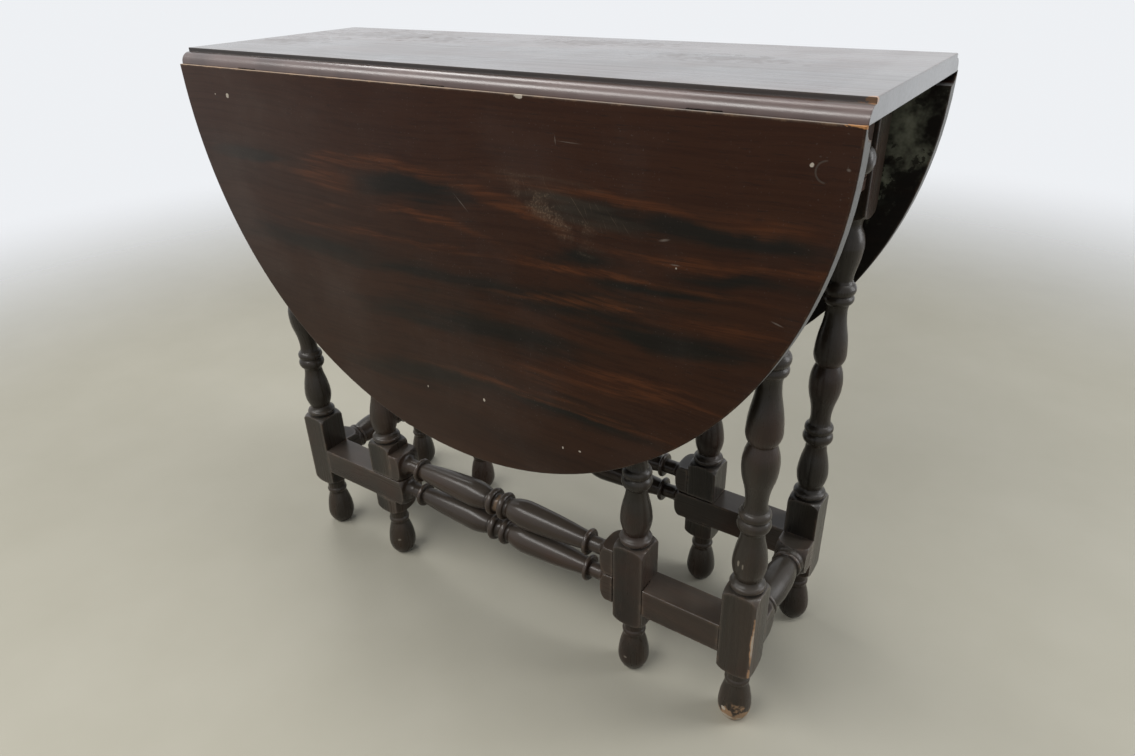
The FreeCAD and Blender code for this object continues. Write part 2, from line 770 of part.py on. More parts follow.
def leaf_plates(label, turn, blanks):
    """The long plates let into the inside of a leaf, each with one middle knuckle."""
    plates = []
    ends = [(-MIDDLE_HALF, MIDDLE_HALF)]
    flap_z = (-S.leaf_plate_length, -KNUCKLE_CLEAR)
    for number, middle in enumerate(HINGE_PLACES):
        name = f"{label}_{number}"
        pieces = hinge_knuckles(label, number, middle, ends)
        pieces.append(block(f"{name}_flap", about(middle, HINGE_HALF), PLATE, flap_z))
        pieces.append(block(f"{name}_arm", about(middle, MIDDLE_HALF), PLATE, (-KNUCKLE_CLEAR, ZERO)))
        screws = [blank for blank, _, _ in blanks[number * 3:number * 3 + 3]]
        bore = pin_bore(f"{name}_bore", middle, S.hinge_pin_radius + S.hinge_pin_clearance)
        plates.append(carve(f"{name}_cut", fuse(f"{name}_blank", pieces), screws + [bore]))
    node(at_hinge_line(group(label, plates), turn), label)


def hinge_pins(label, turn):
    pins = []
    for number, middle in enumerate(HINGE_PLACES):
        low = middle - HINGE_HALF
        pins.append(rod(f"{label}_{number}", S.hinge_pin_radius, S.hinge_width, low, ZERO, ZERO, ALONG_X))
    node(at_hinge_line(group(label, pins), turn), label)


def hinge_screws(label, turn, blanks, in_leaf):
    screws = []
    for blank, x, other in blanks:
        sides = (slot_depth(), head_sides(other)) if in_leaf else (head_sides(other), slot_depth())
        screws.append(slotted(blank.Name, blank, slot_sides(x), *sides))
    node(at_hinge_line(group(label, screws), turn), label)


def hinge_gains(name, turn, blanks):
    """What is cut from the underside of the top for the hinges of one leaf."""
    pieces = [blank for blank, _, _ in blanks]
    below = -UNDER_DROP - S.overrun
    length = S.hinge_width + S.plate_gap * 2
    plate_y = (-S.top_plate_length - S.plate_gap, ZERO)
    for number, middle in enumerate(HINGE_PLACES):
        gain = f"{name}_{number}"
        wide = about(middle, HINGE_HALF + S.plate_gap)
        pieces.append(block(f"{gain}_plate", wide, plate_y, (below, PLATE[1])))
        pieces.append(block(f"{gain}_slot", wide, (-KNUCKLE_CLEAR, KNUCKLE_CLEAR), (below, ZERO)))
        pieces.append(block(f"{gain}_path", wide, (ZERO, S.rule_radius + S.overrun),
                            (below, PLATE[1] + S.rule_clearance)))
        pieces.append(rod(f"{gain}_knuckle", KNUCKLE_CLEAR, length, wide[0], ZERO, ZERO, ALONG_X))
    return at_hinge_line(fuse(name, pieces), turn)


def edge_boxes(feature):
    """Each edge of a feature's shape by name, with the box round it."""
    return [(f"Edge{n}", edge.BoundBox) for n, edge in enumerate(feature.Shape.Edges, 1)]


def rounded(body, base, edges, radius):
    fillet = body.newObject("PartDesign::Fillet", f"{body.Name}_arris")
    fillet.Base = (base, edges)
    bind(fillet, "Radius", radius)
    return fillet


def top_body():
    """The fixed board, with the ovolo of a rule joint along both long edges."""
    body = doc.addObject("PartDesign::Body", "table_top_stock")
    sketch = new_sketch(body, "table_top_section", "YZ_Plane")
    arc_middle = S.rule_radius * DIAGONAL_SHARE
    arris = HINGE_Z + S.rule_radius
    out = HINGE_Y + S.rule_radius
    draw(sketch, [
        (-HINGE_Y, S.table_height),
        (-HINGE_Y, arris),
        ((-HINGE_Y - arc_middle, HINGE_Z + arc_middle), (-out, HINGE_Z)),
        (-out, UNDER_TOP),
        (out, UNDER_TOP),
        (out, HINGE_Z),
        ((HINGE_Y + arc_middle, HINGE_Z + arc_middle), (HINGE_Y, arris)),
        (HINGE_Y, S.table_height),
    ])
    board = pad(body, sketch, S.top_length, side="Symmetric")
    doc.recompute()
    across = [edge_name for edge_name, box in edge_boxes(board)
              if box.XLength < S.arris_round.number and box.YLength > HINGE_Y.number]
    rounded(body, board, across, S.arris_round)
    return body


def leaf_body(name):
    """A hanging leaf about its hinge line: straight sides, a round lower edge and the rule joint's cove."""
    body = doc.addObject("PartDesign::Body", name)
    outer = S.quirk_depth + S.rule_radius
    sketch = new_sketch(body, f"{name}_outline", "XZ_Plane", -outer)
    half = S.top_length / 2
    draw(sketch, [
        (-half, -S.rule_clearance),
        (-half, -S.leaf_side),
        ((ZERO, -S.leaf_drop), (half, -S.leaf_side)),
        (half, -S.rule_clearance),
    ])
    board = pad(body, sketch, S.board_thickness)
    doc.recompute()
    rim = [edge_name for edge_name, box in edge_boxes(board)
           if box.YLength < S.arris_round.number and box.ZLength > S.leaf_side.number / 2]
    rounded(body, board, rim, S.arris_round)
    cove = S.rule_radius + S.rule_clearance
    inside = -UNDER_DROP - S.overrun
    cut = new_sketch(body, f"{name}_cove", "YZ_Plane")
    draw(cut, [
        (inside, S.overrun),
        (cove, S.overrun),
        (cove, ZERO),
        ((cove * DIAGONAL_SHARE, -cove * DIAGONAL_SHARE), (ZERO, -cove)),
        (inside, -cove),
    ])
    pocket = body.newObject("PartDesign::Pocket", f"{name}_cove_pocket")
    pocket.Profile = cut
    pocket.SideType = "Symmetric"
    bind(pocket, "Length", S.top_length + S.overrun * 2)
    return body


def leaf(label, turn, blanks):
    tools = [blank for blank, _, _ in blanks]
    for number, middle in enumerate(HINGE_PLACES):
        tools.append(block(f"{label}_recess_{number}", about(middle, HINGE_HALF + S.plate_gap),
                           (-UNDER_DROP - S.overrun, PLATE[1]), (-S.leaf_plate_length - S.plate_gap, ZERO)))
    board = carve(label, leaf_body(f"{label}_stock"), [fuse(f"{label}_recesses", tools)])
    node(at_hinge_line(board, turn), label)


def leaf_stop(label, turn):
    """The block inside a leaf that the swung leg comes to rest against."""
    stop = block(f"{label}_block", about(S.leaf_stop_offset, S.leaf_stop_width / 2),
                 (-UNDER_DROP - S.leaf_stop_thickness, -UNDER_DROP),
                 about(-S.leaf_stop_reach, S.leaf_stop_length / 2))
    node(at_hinge_line(group(label, [stop]), turn), label)


def side_pieces(side, turn):
    """One long side: apron, stretcher, gate and leaf with its hinges. Gives the gains for the top."""
    apron(f"{side}_apron", turn)
    side_stretcher(f"{side}_stretcher", turn)
    pivot_foot(f"{side}_pivot_foot", turn)
    pivot_post(f"{side}_pivot_post", turn)
    pivot_pins(f"{side}_pivot_pins", turn)
    swing_leg(f"{side}_swing_leg", turn)
    gate_rail(f"{side}_gate_rail", turn)
    gate_stretcher(f"{side}_gate_stretcher", turn)
    in_top = top_screw_blanks(f"{side}_top_screw")
    in_leaf = leaf_screw_blanks(f"{side}_leaf_screw")
    leaf(f"{side}_leaf", turn, in_leaf)
    leaf_stop(f"{side}_leaf_stop", turn)
    top_plates(f"{side}_top_plates", turn, in_top)
    leaf_plates(f"{side}_leaf_plates", turn, in_leaf)
    hinge_pins(f"{side}_hinge_pins", turn)
    hinge_screws(f"{side}_top_plate_screws", turn, in_top, False)
    hinge_screws(f"{side}_leaf_plate_screws", turn, in_leaf, True)
    return hinge_gains(f"{side}_gains", turn, in_top)


KICKER_Y = {"front": span(-1, RUNNER_IN, RUNNER_OUT), "back": (RUNNER_IN, RUNNER_OUT)}


def top_fixing_blanks():
    """Screws up through the kickers into the top."""
    blanks = []
    for side, (low, high) in KICKER_Y.items():
        for number, place_share in enumerate((-1, 0, 1)):
            x = S.top_screw_spacing * place_share
            y = (low + high) / 2
            blanks.append((screw_blank(f"{side}_fixing_{number}", S.top_screw_length, x, y, RAIL_LOW), x, y))
    return blanks


def kickers(blanks):
    """The strips under the top that hold the drawer down and fix the top."""
    for side, y in KICKER_Y.items():
        label = f"{side}_kicker"
        strip = block(f"{label}_stock", (-LEFT_IN, INNER_X), y, (RAIL_LOW, UNDER_TOP))
        mine = [blank for blank, _, _ in blanks if blank.Name.startswith(side)]
        node(carve(label, strip, mine), label)


def top_screws(blanks):
    depth = (RAIL_LOW - S.overrun, RAIL_LOW + S.screw_slot_depth)
    screws = [slotted(blank.Name, blank, slot_sides(x), head_sides(y), depth) for blank, x, y in blanks]
    node(group("top_screws", screws), "top_screws")


def table_top(gains, blanks):
    tools = gains + [blank for blank, _, _ in blanks]
    node(carve("table_top", top_body(), tools), "table_top")


def runner(side, sign):
    """The L-shaped strip that a drawer side slides on and is guided by."""
    label = f"{side}_runner"
    body = doc.addObject("PartDesign::Body", label)
    sketch = new_sketch(body, f"{label}_section", "YZ_Plane", -LEFT_IN)
    guide_in = RUNNER_OUT - S.guide_width
    low = BEARER_TOP - S.runner_height
    high = BEARER_TOP + S.guide_height
    draw(sketch, [
        (RUNNER_IN * sign, low),
        (RUNNER_OUT * sign, low),
        (RUNNER_OUT * sign, high),
        (guide_in * sign, high),
        (guide_in * sign, BEARER_TOP),
        (RUNNER_IN * sign, BEARER_TOP),
    ])
    pad(body, sketch, LEFT_IN + INNER_X)
    node(body, label)


def drawer_stops():
    """Two small blocks on the bearer that the closed drawer front meets."""
    x = (INNER_X, FRONT_IN - S.drawer_slip)
    z = (BEARER_TOP, BEARER_TOP + S.stop_height)
    stops = [block(f"drawer_stop_{n}", x, about(S.stop_spacing / 2 * sign, S.stop_width / 2), z)
             for n, sign in enumerate((-1, 1))]
    node(group("drawer_stops", stops), "drawer_stops")


FRONT_Z = (BEARER_TOP + S.drawer_gap, RAIL_LOW - S.drawer_gap)
KNOB_Z = (FRONT_Z[0] + FRONT_Z[1]) / 2


def knob_body():
    """A turned mushroom knob standing on Z."""
    body = doc.addObject("PartDesign::Body", "drawer_knob_stock")
    sketch = new_sketch(body, "drawer_knob_outline", "XZ_Plane")
    draw(sketch, [(ZERO, ZERO)] + turned_points(KNOB_SHARES, ZERO, S.knob_length, S.knob_radius))
    turning = body.newObject("PartDesign::Revolution", "drawer_knob_turning")
    turning.Profile = sketch
    turning.ReferenceAxis = (sketch, ["V_Axis"])
    turning.Angle = 360
    return body


def knob_and_screw():
    knob = knob_body()
    place(knob, END_OUT, ZERO, KNOB_Z, ALONG_X)
    length = S.drawer_front_thickness + S.knob_screw_depth
    blank = screw_blank("knob_screw_blank", length, FRONT_IN, ZERO, KNOB_Z, ALONG_X)
    node(carve("drawer_knob", knob, [blank]), "drawer_knob")
    depth = (FRONT_IN - S.overrun, FRONT_IN + S.screw_slot_depth)
    node(slotted("knob_screw", blank, depth, slot_sides(ZERO), head_sides(KNOB_Z)), "knob_screw")
    return blank


def drawer(knob_blank):
    """The drawer box: front, grooved sides, back and bottom."""
    groove_z = (GROOVE_LOW, GROOVE_HIGH)
    groove_y = BOX_IN + S.drawer_groove_depth
    side_top = DRAWER_LOW + S.drawer_side_height
    front = block("drawer_front_board", (FRONT_IN, END_OUT), about(ZERO, INNER_Y - S.drawer_gap), FRONT_Z)
    front_groove = block("drawer_front_groove", (FRONT_IN - S.overrun, FRONT_IN + S.drawer_groove_depth),
                         about(ZERO, groove_y), groove_z)
    node(carve("drawer_front", front, [front_groove, knob_blank]), "drawer_front")
    for side, sign in (("front", -1), ("back", 1)):
        label = f"drawer_{side}_side"
        y = span(sign, BOX_IN, BOX_OUT)
        board = block(f"{label}_board", (DRAWER_IN, FRONT_IN), y, (DRAWER_LOW, side_top))
        groove = block(f"{label}_groove", (DRAWER_IN - S.overrun, FRONT_IN + S.overrun),
                       span(sign, BOX_IN - S.overrun, groove_y), groove_z)
        node(carve(label, board, [groove]), label)
    back = block("drawer_back", (DRAWER_IN, DRAWER_IN + S.drawer_side_thickness), about(ZERO, BOX_IN),
                 (GROOVE_HIGH, side_top - S.drawer_back_drop))
    node(back, "drawer_back")
    bottom_x = (DRAWER_IN, FRONT_IN + S.drawer_groove_depth)
    node(block("drawer_bottom", bottom_x, about(ZERO, groove_y), groove_z), "drawer_bottom")


def check_and_write():
    doc.recompute()
    for item in doc.Objects:
        if "Invalid" in item.State or "Error" in item.State:
            raise RuntimeError(f"{item.Name} failed: {item.State}")
    for piece in nodes:
        if piece.Shape.isNull() or not piece.Shape.isValid():
            raise RuntimeError(f"{piece.Label} has no valid shape")
    os.makedirs("parts", exist_ok=True)
    for piece in nodes:
        piece.Shape.exportStep(os.path.join("parts", f"{piece.Label}.step"))
    print(f"{len(nodes)} nodes written")


def build():
    for end_name, end in (("left", -1), ("right", 1)):
        for side_name, side in (("front", -1), ("back", 1)):
            corner_leg(f"{side_name}_{end_name}_leg", end, side)
        end_stretcher(f"{end_name}_end_stretcher", end)
    left_end_apron()
    drawer_opening_rail("drawer_top_rail", (RAIL_LOW, UNDER_TOP), RAIL_TENON)
    drawer_opening_rail("drawer_bearer", (END_BOTTOM, BEARER_TOP), BEARER_TENON)
    gains = [side_pieces(side, turn) for side, turn in HALF_TURN.items()]
    fixing = top_fixing_blanks()
    table_top(gains, fixing)
    kickers(fixing)
    top_screws(fixing)
    runner("front", -1)
    runner("back", 1)
    drawer_stops()
    drawer(knob_and_screw())
    check_and_write()


build()
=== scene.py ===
import json
import math

import bpy
from mathutils import Matrix, Vector


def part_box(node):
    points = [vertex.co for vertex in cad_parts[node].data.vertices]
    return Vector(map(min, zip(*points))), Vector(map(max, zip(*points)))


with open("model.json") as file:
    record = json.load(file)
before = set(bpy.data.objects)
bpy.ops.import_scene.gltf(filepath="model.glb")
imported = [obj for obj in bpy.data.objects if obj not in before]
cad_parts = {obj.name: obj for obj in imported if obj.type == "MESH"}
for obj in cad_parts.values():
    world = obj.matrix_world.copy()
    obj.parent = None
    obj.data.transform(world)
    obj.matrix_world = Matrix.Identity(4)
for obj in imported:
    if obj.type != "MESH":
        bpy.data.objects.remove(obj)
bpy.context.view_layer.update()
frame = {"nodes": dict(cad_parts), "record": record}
nodes = frame["nodes"]

# The photo's frame, and the camera that was fitted to it
PHOTO_WIDTH = 1135
FOCAL_PIXELS = 792.43
SENSOR_WIDTH = 36.0
NEAR_CLIP = 0.01
CAMERA_PLACE = Vector((0.5891, -0.76779, 0.86065))
CAMERA_AZIMUTH = math.radians(35.158)
CAMERA_ELEVATION = math.radians(28.75)
CAMERA_ROLL = math.radians(-1.681)

# How bright the surroundings are as light on the object, and as seen directly or in a gloss
WORLD_LIGHT = 0.16
WORLD_SEEN = 0.9
WORLD_COLOUR = (0.95, 0.97, 1.0, 1.0)

# Each lamp's name, place, target, size, power in watts, and colour
WARM_LIGHT = (1.0, 0.98, 0.95)
COOL_LIGHT = (0.97, 0.98, 1.0)
LAMPS = [
    ("overhead_left", (-0.9, 0.3, 2.3), (-0.2, 0.0, 0.3), (0.4, 1.9), 15.0, WARM_LIGHT),
    ("overhead_right", (0.8, 0.3, 2.3), (0.2, 0.0, 0.3), (0.4, 1.9), 17.0, WARM_LIGHT),
    ("overhead_front", (-0.9, -1.7, 2.3), (0.0, 0.0, 0.3), (3.0, 0.6), 58.0, WARM_LIGHT),
    ("right", (2.0, 0.95, 1.1), (0.0, 0.0, 0.35), (1.0, 1.4), 20.0, COOL_LIGHT),
]


def make_camera():
    data = bpy.data.cameras.new("camera")
    data.sensor_width = SENSOR_WIDTH
    data.lens = FOCAL_PIXELS * SENSOR_WIDTH / PHOTO_WIDTH
    data.clip_start = NEAR_CLIP
    camera = bpy.data.objects.new("camera", data)
    bpy.context.scene.collection.objects.link(camera)
    level = math.cos(CAMERA_ELEVATION)
    back = Vector((math.sin(CAMERA_AZIMUTH) * level, -math.cos(CAMERA_AZIMUTH) * level,
                   math.sin(CAMERA_ELEVATION)))
    right = (-back).cross(Vector((0, 0, 1))).normalized()
    up = right.cross(-back)
    turned_right = right * math.cos(CAMERA_ROLL) + up * math.sin(CAMERA_ROLL)
    turned_up = up * math.cos(CAMERA_ROLL) - right * math.sin(CAMERA_ROLL)
    turn = Matrix((turned_right, turned_up, back)).transposed()
    camera.matrix_world = Matrix.Translation(CAMERA_PLACE) @ turn.to_4x4()
    bpy.context.scene.camera = camera


def make_world():
    """Pale surroundings that are brighter to look at than they are as light."""
    world = bpy.data.worlds.new("studio")
    world.use_nodes = True
    tree = world.node_tree
    background = tree.nodes["Background"]
    background.inputs["Color"].default_value = WORLD_COLOUR
    rays = tree.nodes.new("ShaderNodeLightPath")
    seen = rays.outputs["Is Camera Ray"]
    for kind in ("Is Glossy Ray", "Is Transmission Ray"):
        either = tree.nodes.new("ShaderNodeMath")
        either.operation = "MAXIMUM"
        tree.links.new(seen, either.inputs[0])
        tree.links.new(rays.outputs[kind], either.inputs[1])
        seen = either.outputs[0]
    strength = tree.nodes.new("ShaderNodeMapRange")
    strength.inputs["To Min"].default_value = WORLD_LIGHT
    strength.inputs["To Max"].default_value = WORLD_SEEN
    tree.links.new(seen, strength.inputs["Value"])
    tree.links.new(strength.outputs["Result"], background.inputs["Strength"])
    bpy.context.scene.world = world


def make_lamps():
    for name, place, target, size, power, tint in LAMPS:
        data = bpy.data.lights.new(name, "AREA")
        data.shape = "RECTANGLE"
        data.size, data.size_y = size
        data.energy = power
        data.color = tint
        lamp = bpy.data.objects.new(name, data)
        lamp.location = place
        lamp.rotation_euler = (Vector(target) - Vector(place)).to_track_quat("-Z", "Y").to_euler()
        lamp.visible_camera = False
        bpy.context.scene.collection.objects.link(lamp)


class Looks:
    """A material and short ways to add nodes to it."""

    def __init__(self, name):
        self.material = bpy.data.materials.new(name)
        self.material.use_nodes = True
        self.tree = self.material.node_tree
        self.shader = self.tree.nodes["Principled BSDF"]
        self.coordinates = self.tree.nodes.new("ShaderNodeTexCoord")
        self.place = self.coordinates.outputs["Object"]
        self.facing = self.coordinates.outputs["Normal"]

    def put(self, socket, value):
        """Link a socket to another node, or set its value."""
        if isinstance(value, bpy.types.NodeSocket):
            self.tree.links.new(value, socket)
        elif value is not None:
            socket.default_value = value

    def node(self, kind, inputs, **settings):
        made = self.tree.nodes.new(kind)
        for key, value in settings.items():
            setattr(made, key, value)
        for key, value in inputs.items():
            self.put(made.inputs[key], value)
        return made

    def math(self, operation, a, b=None, clamp=False):
        return self.node("ShaderNodeMath", {0: a, 1: b}, operation=operation, use_clamp=clamp).outputs[0]

    def vector(self, operation, a, b=None):
        made = self.node("ShaderNodeVectorMath", {0: a, 1: b}, operation=operation)
        return made.outputs["Value" if operation in ("DOT_PRODUCT", "LENGTH") else "Vector"]

    def noise(self, place, scale=1.0, detail=2.0, roughness=0.5):
        inputs = {"Vector": place, "Scale": scale, "Detail": detail, "Roughness": roughness}
        return self.node("ShaderNodeTexNoise", inputs)

    def remap(self, value, low, high, to_low=0.0, to_high=1.0):
        """A smooth step between two values, as the given one goes from low to high."""
        inputs = {"Value": value, "From Min": low, "From Max": high, "To Min": to_low, "To Max": to_high}
        return self.node("ShaderNodeMapRange", inputs, interpolation_type="SMOOTHSTEP").outputs["Result"]

    def mix(self, share, a, b, blend="MIX"):
        made = self.tree.nodes.new("ShaderNodeMix")
        made.data_type = "RGBA"
        made.blend_type = blend
        self.put(made.inputs[0], share)
        self.put(made.inputs[6], a)
        self.put(made.inputs[7], b)
        return made.outputs[2]

    def ramp(self, value, stops):
        made = self.node("ShaderNodeValToRGB", {"Fac": value})
        band = made.color_ramp
        while len(band.elements) < len(stops):
            band.elements.new(1.0)
        for element, (place, tint) in zip(band.elements, stops):
            element.position = place
            element.color = tint
        return made.outputs["Color"]


AXES = {"x": (1, 0, 0), "y": (0, 1, 0), "z": (0, 0, 1)}


def colour(red, green, blue):
    return (red, green, blue, 1.0)


CHARCOAL = colour(0.0165, 0.0148, 0.0122)
UMBER = colour(0.026, 0.0115, 0.0075)
RED_BROWN = colour(0.047, 0.02, 0.0135)
# Dark grime for the pores, also used as painted shade in the hollows and on the top's riser
GRIME_AND_SHADE = colour(0.0045, 0.004, 0.0034)
# Pale dust, also used as painted light on the tops of the turned wood and rails
DUST_AND_TOP_LIGHT = colour(0.135, 0.128, 0.112)
WORN = colour(0.078, 0.053, 0.039)
BARE_EDGE = colour(0.2, 0.125, 0.075)
BARE_WOOD = colour(0.42, 0.24, 0.13)
BARE_FOOT = colour(0.36, 0.225, 0.13)
# Pale grey painted light for the leaves' edges
PAINTED_RIM_LIGHT = colour(0.195, 0.197, 0.194)
CHIP = colour(0.5, 0.45, 0.38)
FADED_CHIP = colour(0.2, 0.175, 0.14)

# How far a sharp edge is rounded for the light, and how deep the grain and dents are, in metres
EDGE_ROUND = 0.0018
BUMP_DEPTH = 0.0006


class Wood(Looks):
    """Stained wood with its grain along one axis."""

    def __init__(self, name, grain):
        super().__init__(name)
        bent = self.noise(self.place, scale=2.3).outputs["Color"]
        self.swayed = self.vector("ADD", self.place, self.swing(bent, (0.06, 0.06, 0.06)))
        self.along = AXES[grain]
        self.streaks = self.grain(along_scale=5.0, across_scale=230.0, detail=4.0, roughness=0.6)
        dots = self.grain(along_scale=42.0, across_scale=1000.0, detail=2.0, roughness=0.5)
        self.pores = self.remap(dots, 0.61, 0.7)
        self.chips = self.noise(self.place, scale=75.0, detail=4.0, roughness=0.65).outputs["Fac"]
        self.clouds = self.noise(self.place, scale=8.0, detail=4.0, roughness=0.6).outputs["Fac"]
        self.wisps = self.grain(along_scale=6.0, across_scale=60.0, detail=3.0, roughness=0.55)
        self.up = self.part(self.facing, "Z")
        self.base = None
        self.rough = None
        self.rubbed = None

    def swing(self, noise, reach):
        """An offset of up to half the reach either way, from a noise colour."""
        return self.vector("MULTIPLY", self.vector("SUBTRACT", noise, (0.5, 0.5, 0.5)), reach)

    def part(self, vector, axis):
        return self.node("ShaderNodeSeparateXYZ", {"Vector": vector}).outputs[axis]

    def grain(self, along_scale, across_scale, detail, roughness):
        """Noise that is drawn out along the grain."""
        scale = tuple(along_scale if a else across_scale for a in self.along)
        drawn_out = self.vector("MULTIPLY", self.swayed, scale)
        return self.noise(drawn_out, detail=detail, roughness=roughness).outputs["Fac"]

    def figure(self, along_scale, across_scale, stops):
        """Broad bands of colour along the grain."""
        self.base = self.ramp(self.grain(along_scale, across_scale, detail=5.0, roughness=0.5), stops)

    def cross_grain(self, shade, open_pores=0.45):
        """Fine streaks and pores over the figure."""
        darker = self.mix(1.0, self.base, shade, "MULTIPLY")
        self.base = self.mix(self.remap(self.streaks, 0.4, 0.68), self.base, darker)
        self.paint(self.math("MULTIPLY", self.pores, open_pores), GRIME_AND_SHADE)

    def roughen(self, low, high):
        """Set the roughness, from low to high with the streaks."""
        self.rough = self.remap(self.streaks, 0.3, 0.75, low, high)

    def paint(self, mask, tint, rougher=0.0):
        """Lay a colour over the wood where a mask is, and make it rougher there."""
        self.base = self.mix(mask, self.base, tint)
        if rougher:
            self.rough = self.math("ADD", self.rough, self.math("MULTIPLY", mask, rougher), clamp=True)

    def spot(self, centre, radii, share=1.0, ragged=0.7):
        """A mask that is 1 inside an ellipsoid with a ragged edge."""
        inside = self.vector("DIVIDE", self.vector("SUBTRACT", self.place, centre), radii)
        torn = self.remap(self.chips, 0.3, 0.7, ragged, -ragged)
        reach = self.math("ADD", self.vector("LENGTH", inside), torn)
        return self.remap(reach, 1.0, 0.72, 0.0, share)

    def facing_share(self, axis, low=0.55, high=0.75):
        """A mask of the faces that look along an axis, either way."""
        return self.remap(self.math("ABSOLUTE", self.part(self.facing, axis)), low, high)

    def openness(self, reach, inside):
        """How free the space within a reach is, in front of the surface or inside the wood."""
        return self.node("ShaderNodeAmbientOcclusion", {"Distance": reach}, samples=4, inside=inside,
                         only_local=True).outputs["AO"]

    def wear(self, reach, line, bare, tint=BARE_EDGE):
        """Edges and rings rubbed lighter, and bare in places."""
        self.rubbed = self.remap(self.openness(reach, True), 0.9, 0.6)
        lighter = self.remap(self.chips, 0.3, 0.6, line * 0.4, line)
        self.paint(self.math("MULTIPLY", self.rubbed, lighter), WORN)
        barer = self.remap(self.chips, 0.52, 0.64, 0.0, bare)
        self.paint(self.math("MULTIPLY", self.rubbed, barer), tint, 0.1)

    def shade_hollows_and_light_dusty_tops(self, share):
        """Painted shade in the hollows, and dust on what looks up, laid on partly as painted light from
        above.
        """
        hollow_shade = self.remap(self.openness(0.012, False), 0.8, 0.35, 0.0, 0.7)
        # Painted shade: the enclosed hollows are darkened towards near black
        self.paint(hollow_shade, GRIME_AND_SHADE, 0.1)
        patchy = self.remap(self.clouds, 0.3, 0.62, 0.4, 1.0)
        # Dust on what looks up, which also stands as painted light falling from above
        dusty_lit_tops = self.math("MULTIPLY", self.remap(self.up, 0.2, 0.95), patchy)
        self.paint(self.math("MULTIPLY", dusty_lit_tops, share), DUST_AND_TOP_LIGHT, 0.25)

    def coat(self, weight, roughness):
        """Polish over the wood."""
        self.put(self.shader.inputs["Coat Weight"], weight)
        self.shader.inputs["Coat Roughness"].default_value = roughness

    def finish(self, gloss, bump_strength=0.14):
        """Join the colour, roughness, gloss and relief to the shader."""
        self.put(self.shader.inputs["Base Color"], self.base)
        self.put(self.shader.inputs["Roughness"], self.rough)
        self.shader.inputs["Specular IOR Level"].default_value = gloss
        rounded = self.node("ShaderNodeBevel", {"Radius": EDGE_ROUND}, samples=4).outputs["Normal"]
        dents = self.noise(self.place, scale=34.0, detail=3.0).outputs["Fac"]
        height = self.math("ADD", self.math("MULTIPLY", self.streaks, 0.3),
                           self.math("MULTIPLY", dents, 0.6))
        height = self.math("SUBTRACT", height, self.math("MULTIPLY", self.pores, 0.25))
        bump = self.node("ShaderNodeBump", {"Strength": bump_strength, "Distance": BUMP_DEPTH,
                                            "Height": height, "Normal": rounded})
        self.put(self.shader.inputs["Normal"], bump.outputs["Normal"])
        return self.material


DARK_STOPS = [(0.3, CHARCOAL), (0.5, colour(0.034, 0.0285, 0.0222)), (0.64, colour(0.046, 0.0325, 0.0235)),
              (0.8, UMBER)]
DARK_SHADE = colour(0.84, 0.81, 0.79)
DARK_BUMP = 0.07

# Dust with painted top light, redness, polish and gloss of the long stretchers, and of the other turned wood
STRETCHER_LOOK = (0.26, 0.6, 0.34, 0.12)
LEG_LOOK = (0.2, 0.42, 0.0, 0.25)
RUBBED_POLISH = 0.8

# Bare and chipped places on the front right leg and its foot, and on the two feet under the front gate:
# centre, radii and colour
LEG_SPOTS = [
    ((0.3826, -0.1226, 0.147), (0.0024, 0.0024, 0.056), BARE_WOOD),
    ((0.3826, -0.1226, 0.15), (0.0013, 0.0013, 0.03), CHIP),
    ((0.366, -0.112, 0.002), (0.034, 0.032, 0.029), BARE_FOOT),
    ((0.362, -0.121, 0.011), (0.011, 0.01, 0.005), CHIP),
    ((0.377, -0.119, 0.009), (0.005, 0.008, 0.003), CHIP),
    ((0.355, -0.12, 0.024), (0.0035, 0.008, 0.003), CHIP),
    ((0.3555, -0.1205, 0.2576), (0.0012, 0.004, 0.0042), FADED_CHIP),
    ((0.3612, -0.1215, 0.255), (0.001, 0.004, 0.0036), FADED_CHIP),
    ((0.215, -0.12, 0.028), (0.003, 0.005, 0.0016), FADED_CHIP),
    ((-0.205, -0.12, 0.033), (0.0025, 0.005, 0.002), FADED_CHIP),
]

# The rubbed groove in the middle of the front stretchers
GROOVE_TINT = colour(0.2, 0.13, 0.08)
GROOVE_CENTRE = (0.0, -0.102, 0.18)
GROOVE_RADII = (0.0045, 0.04, 0.019)


def dark_wood(name, grain, roughness, dust_and_top_light, redness):
    look = Wood(name, grain)
    look.figure(1.3, 20.0, DARK_STOPS)
    look.paint(look.remap(look.clouds, 0.48, 0.66, redness - 0.4, redness), RED_BROWN)
    look.cross_grain(DARK_SHADE, open_pores=0.14)
    look.roughen(roughness - 0.05, roughness + 0.07)
    # Painted shade in the hollows, and dust with painted light on the tops
    look.shade_hollows_and_light_dusty_tops(dust_and_top_light)
    look.wear(reach=0.005, line=0.6, bare=0.35)
    return look


def turned_wood(grain):
    dust_and_top_light, redness, polish, gloss = STRETCHER_LOOK if grain == "x" else LEG_LOOK
    look = dark_wood(f"turned_wood_{grain}", grain, 0.3, dust_and_top_light, redness)
    if grain == "x":
        look.paint(look.spot(GROOVE_CENTRE, GROOVE_RADII, 0.6, 0.2), GROOVE_TINT, 0.2)
    if grain == "z":
        for centre, radii, tint in LEG_SPOTS:
            look.paint(look.spot(centre, radii, 0.85, 0.35), tint, 0.3)
    look.coat(look.remap(look.rubbed, 0.0, 1.0, polish, RUBBED_POLISH), roughness=0.22)
    return look.finish(gloss, DARK_BUMP)


def rail_wood(grain):
    look = dark_wood(f"rail_wood_{grain}", grain, roughness=0.36, dust_and_top_light=0.38, redness=0.75)
    return look.finish(0.2, DARK_BUMP)


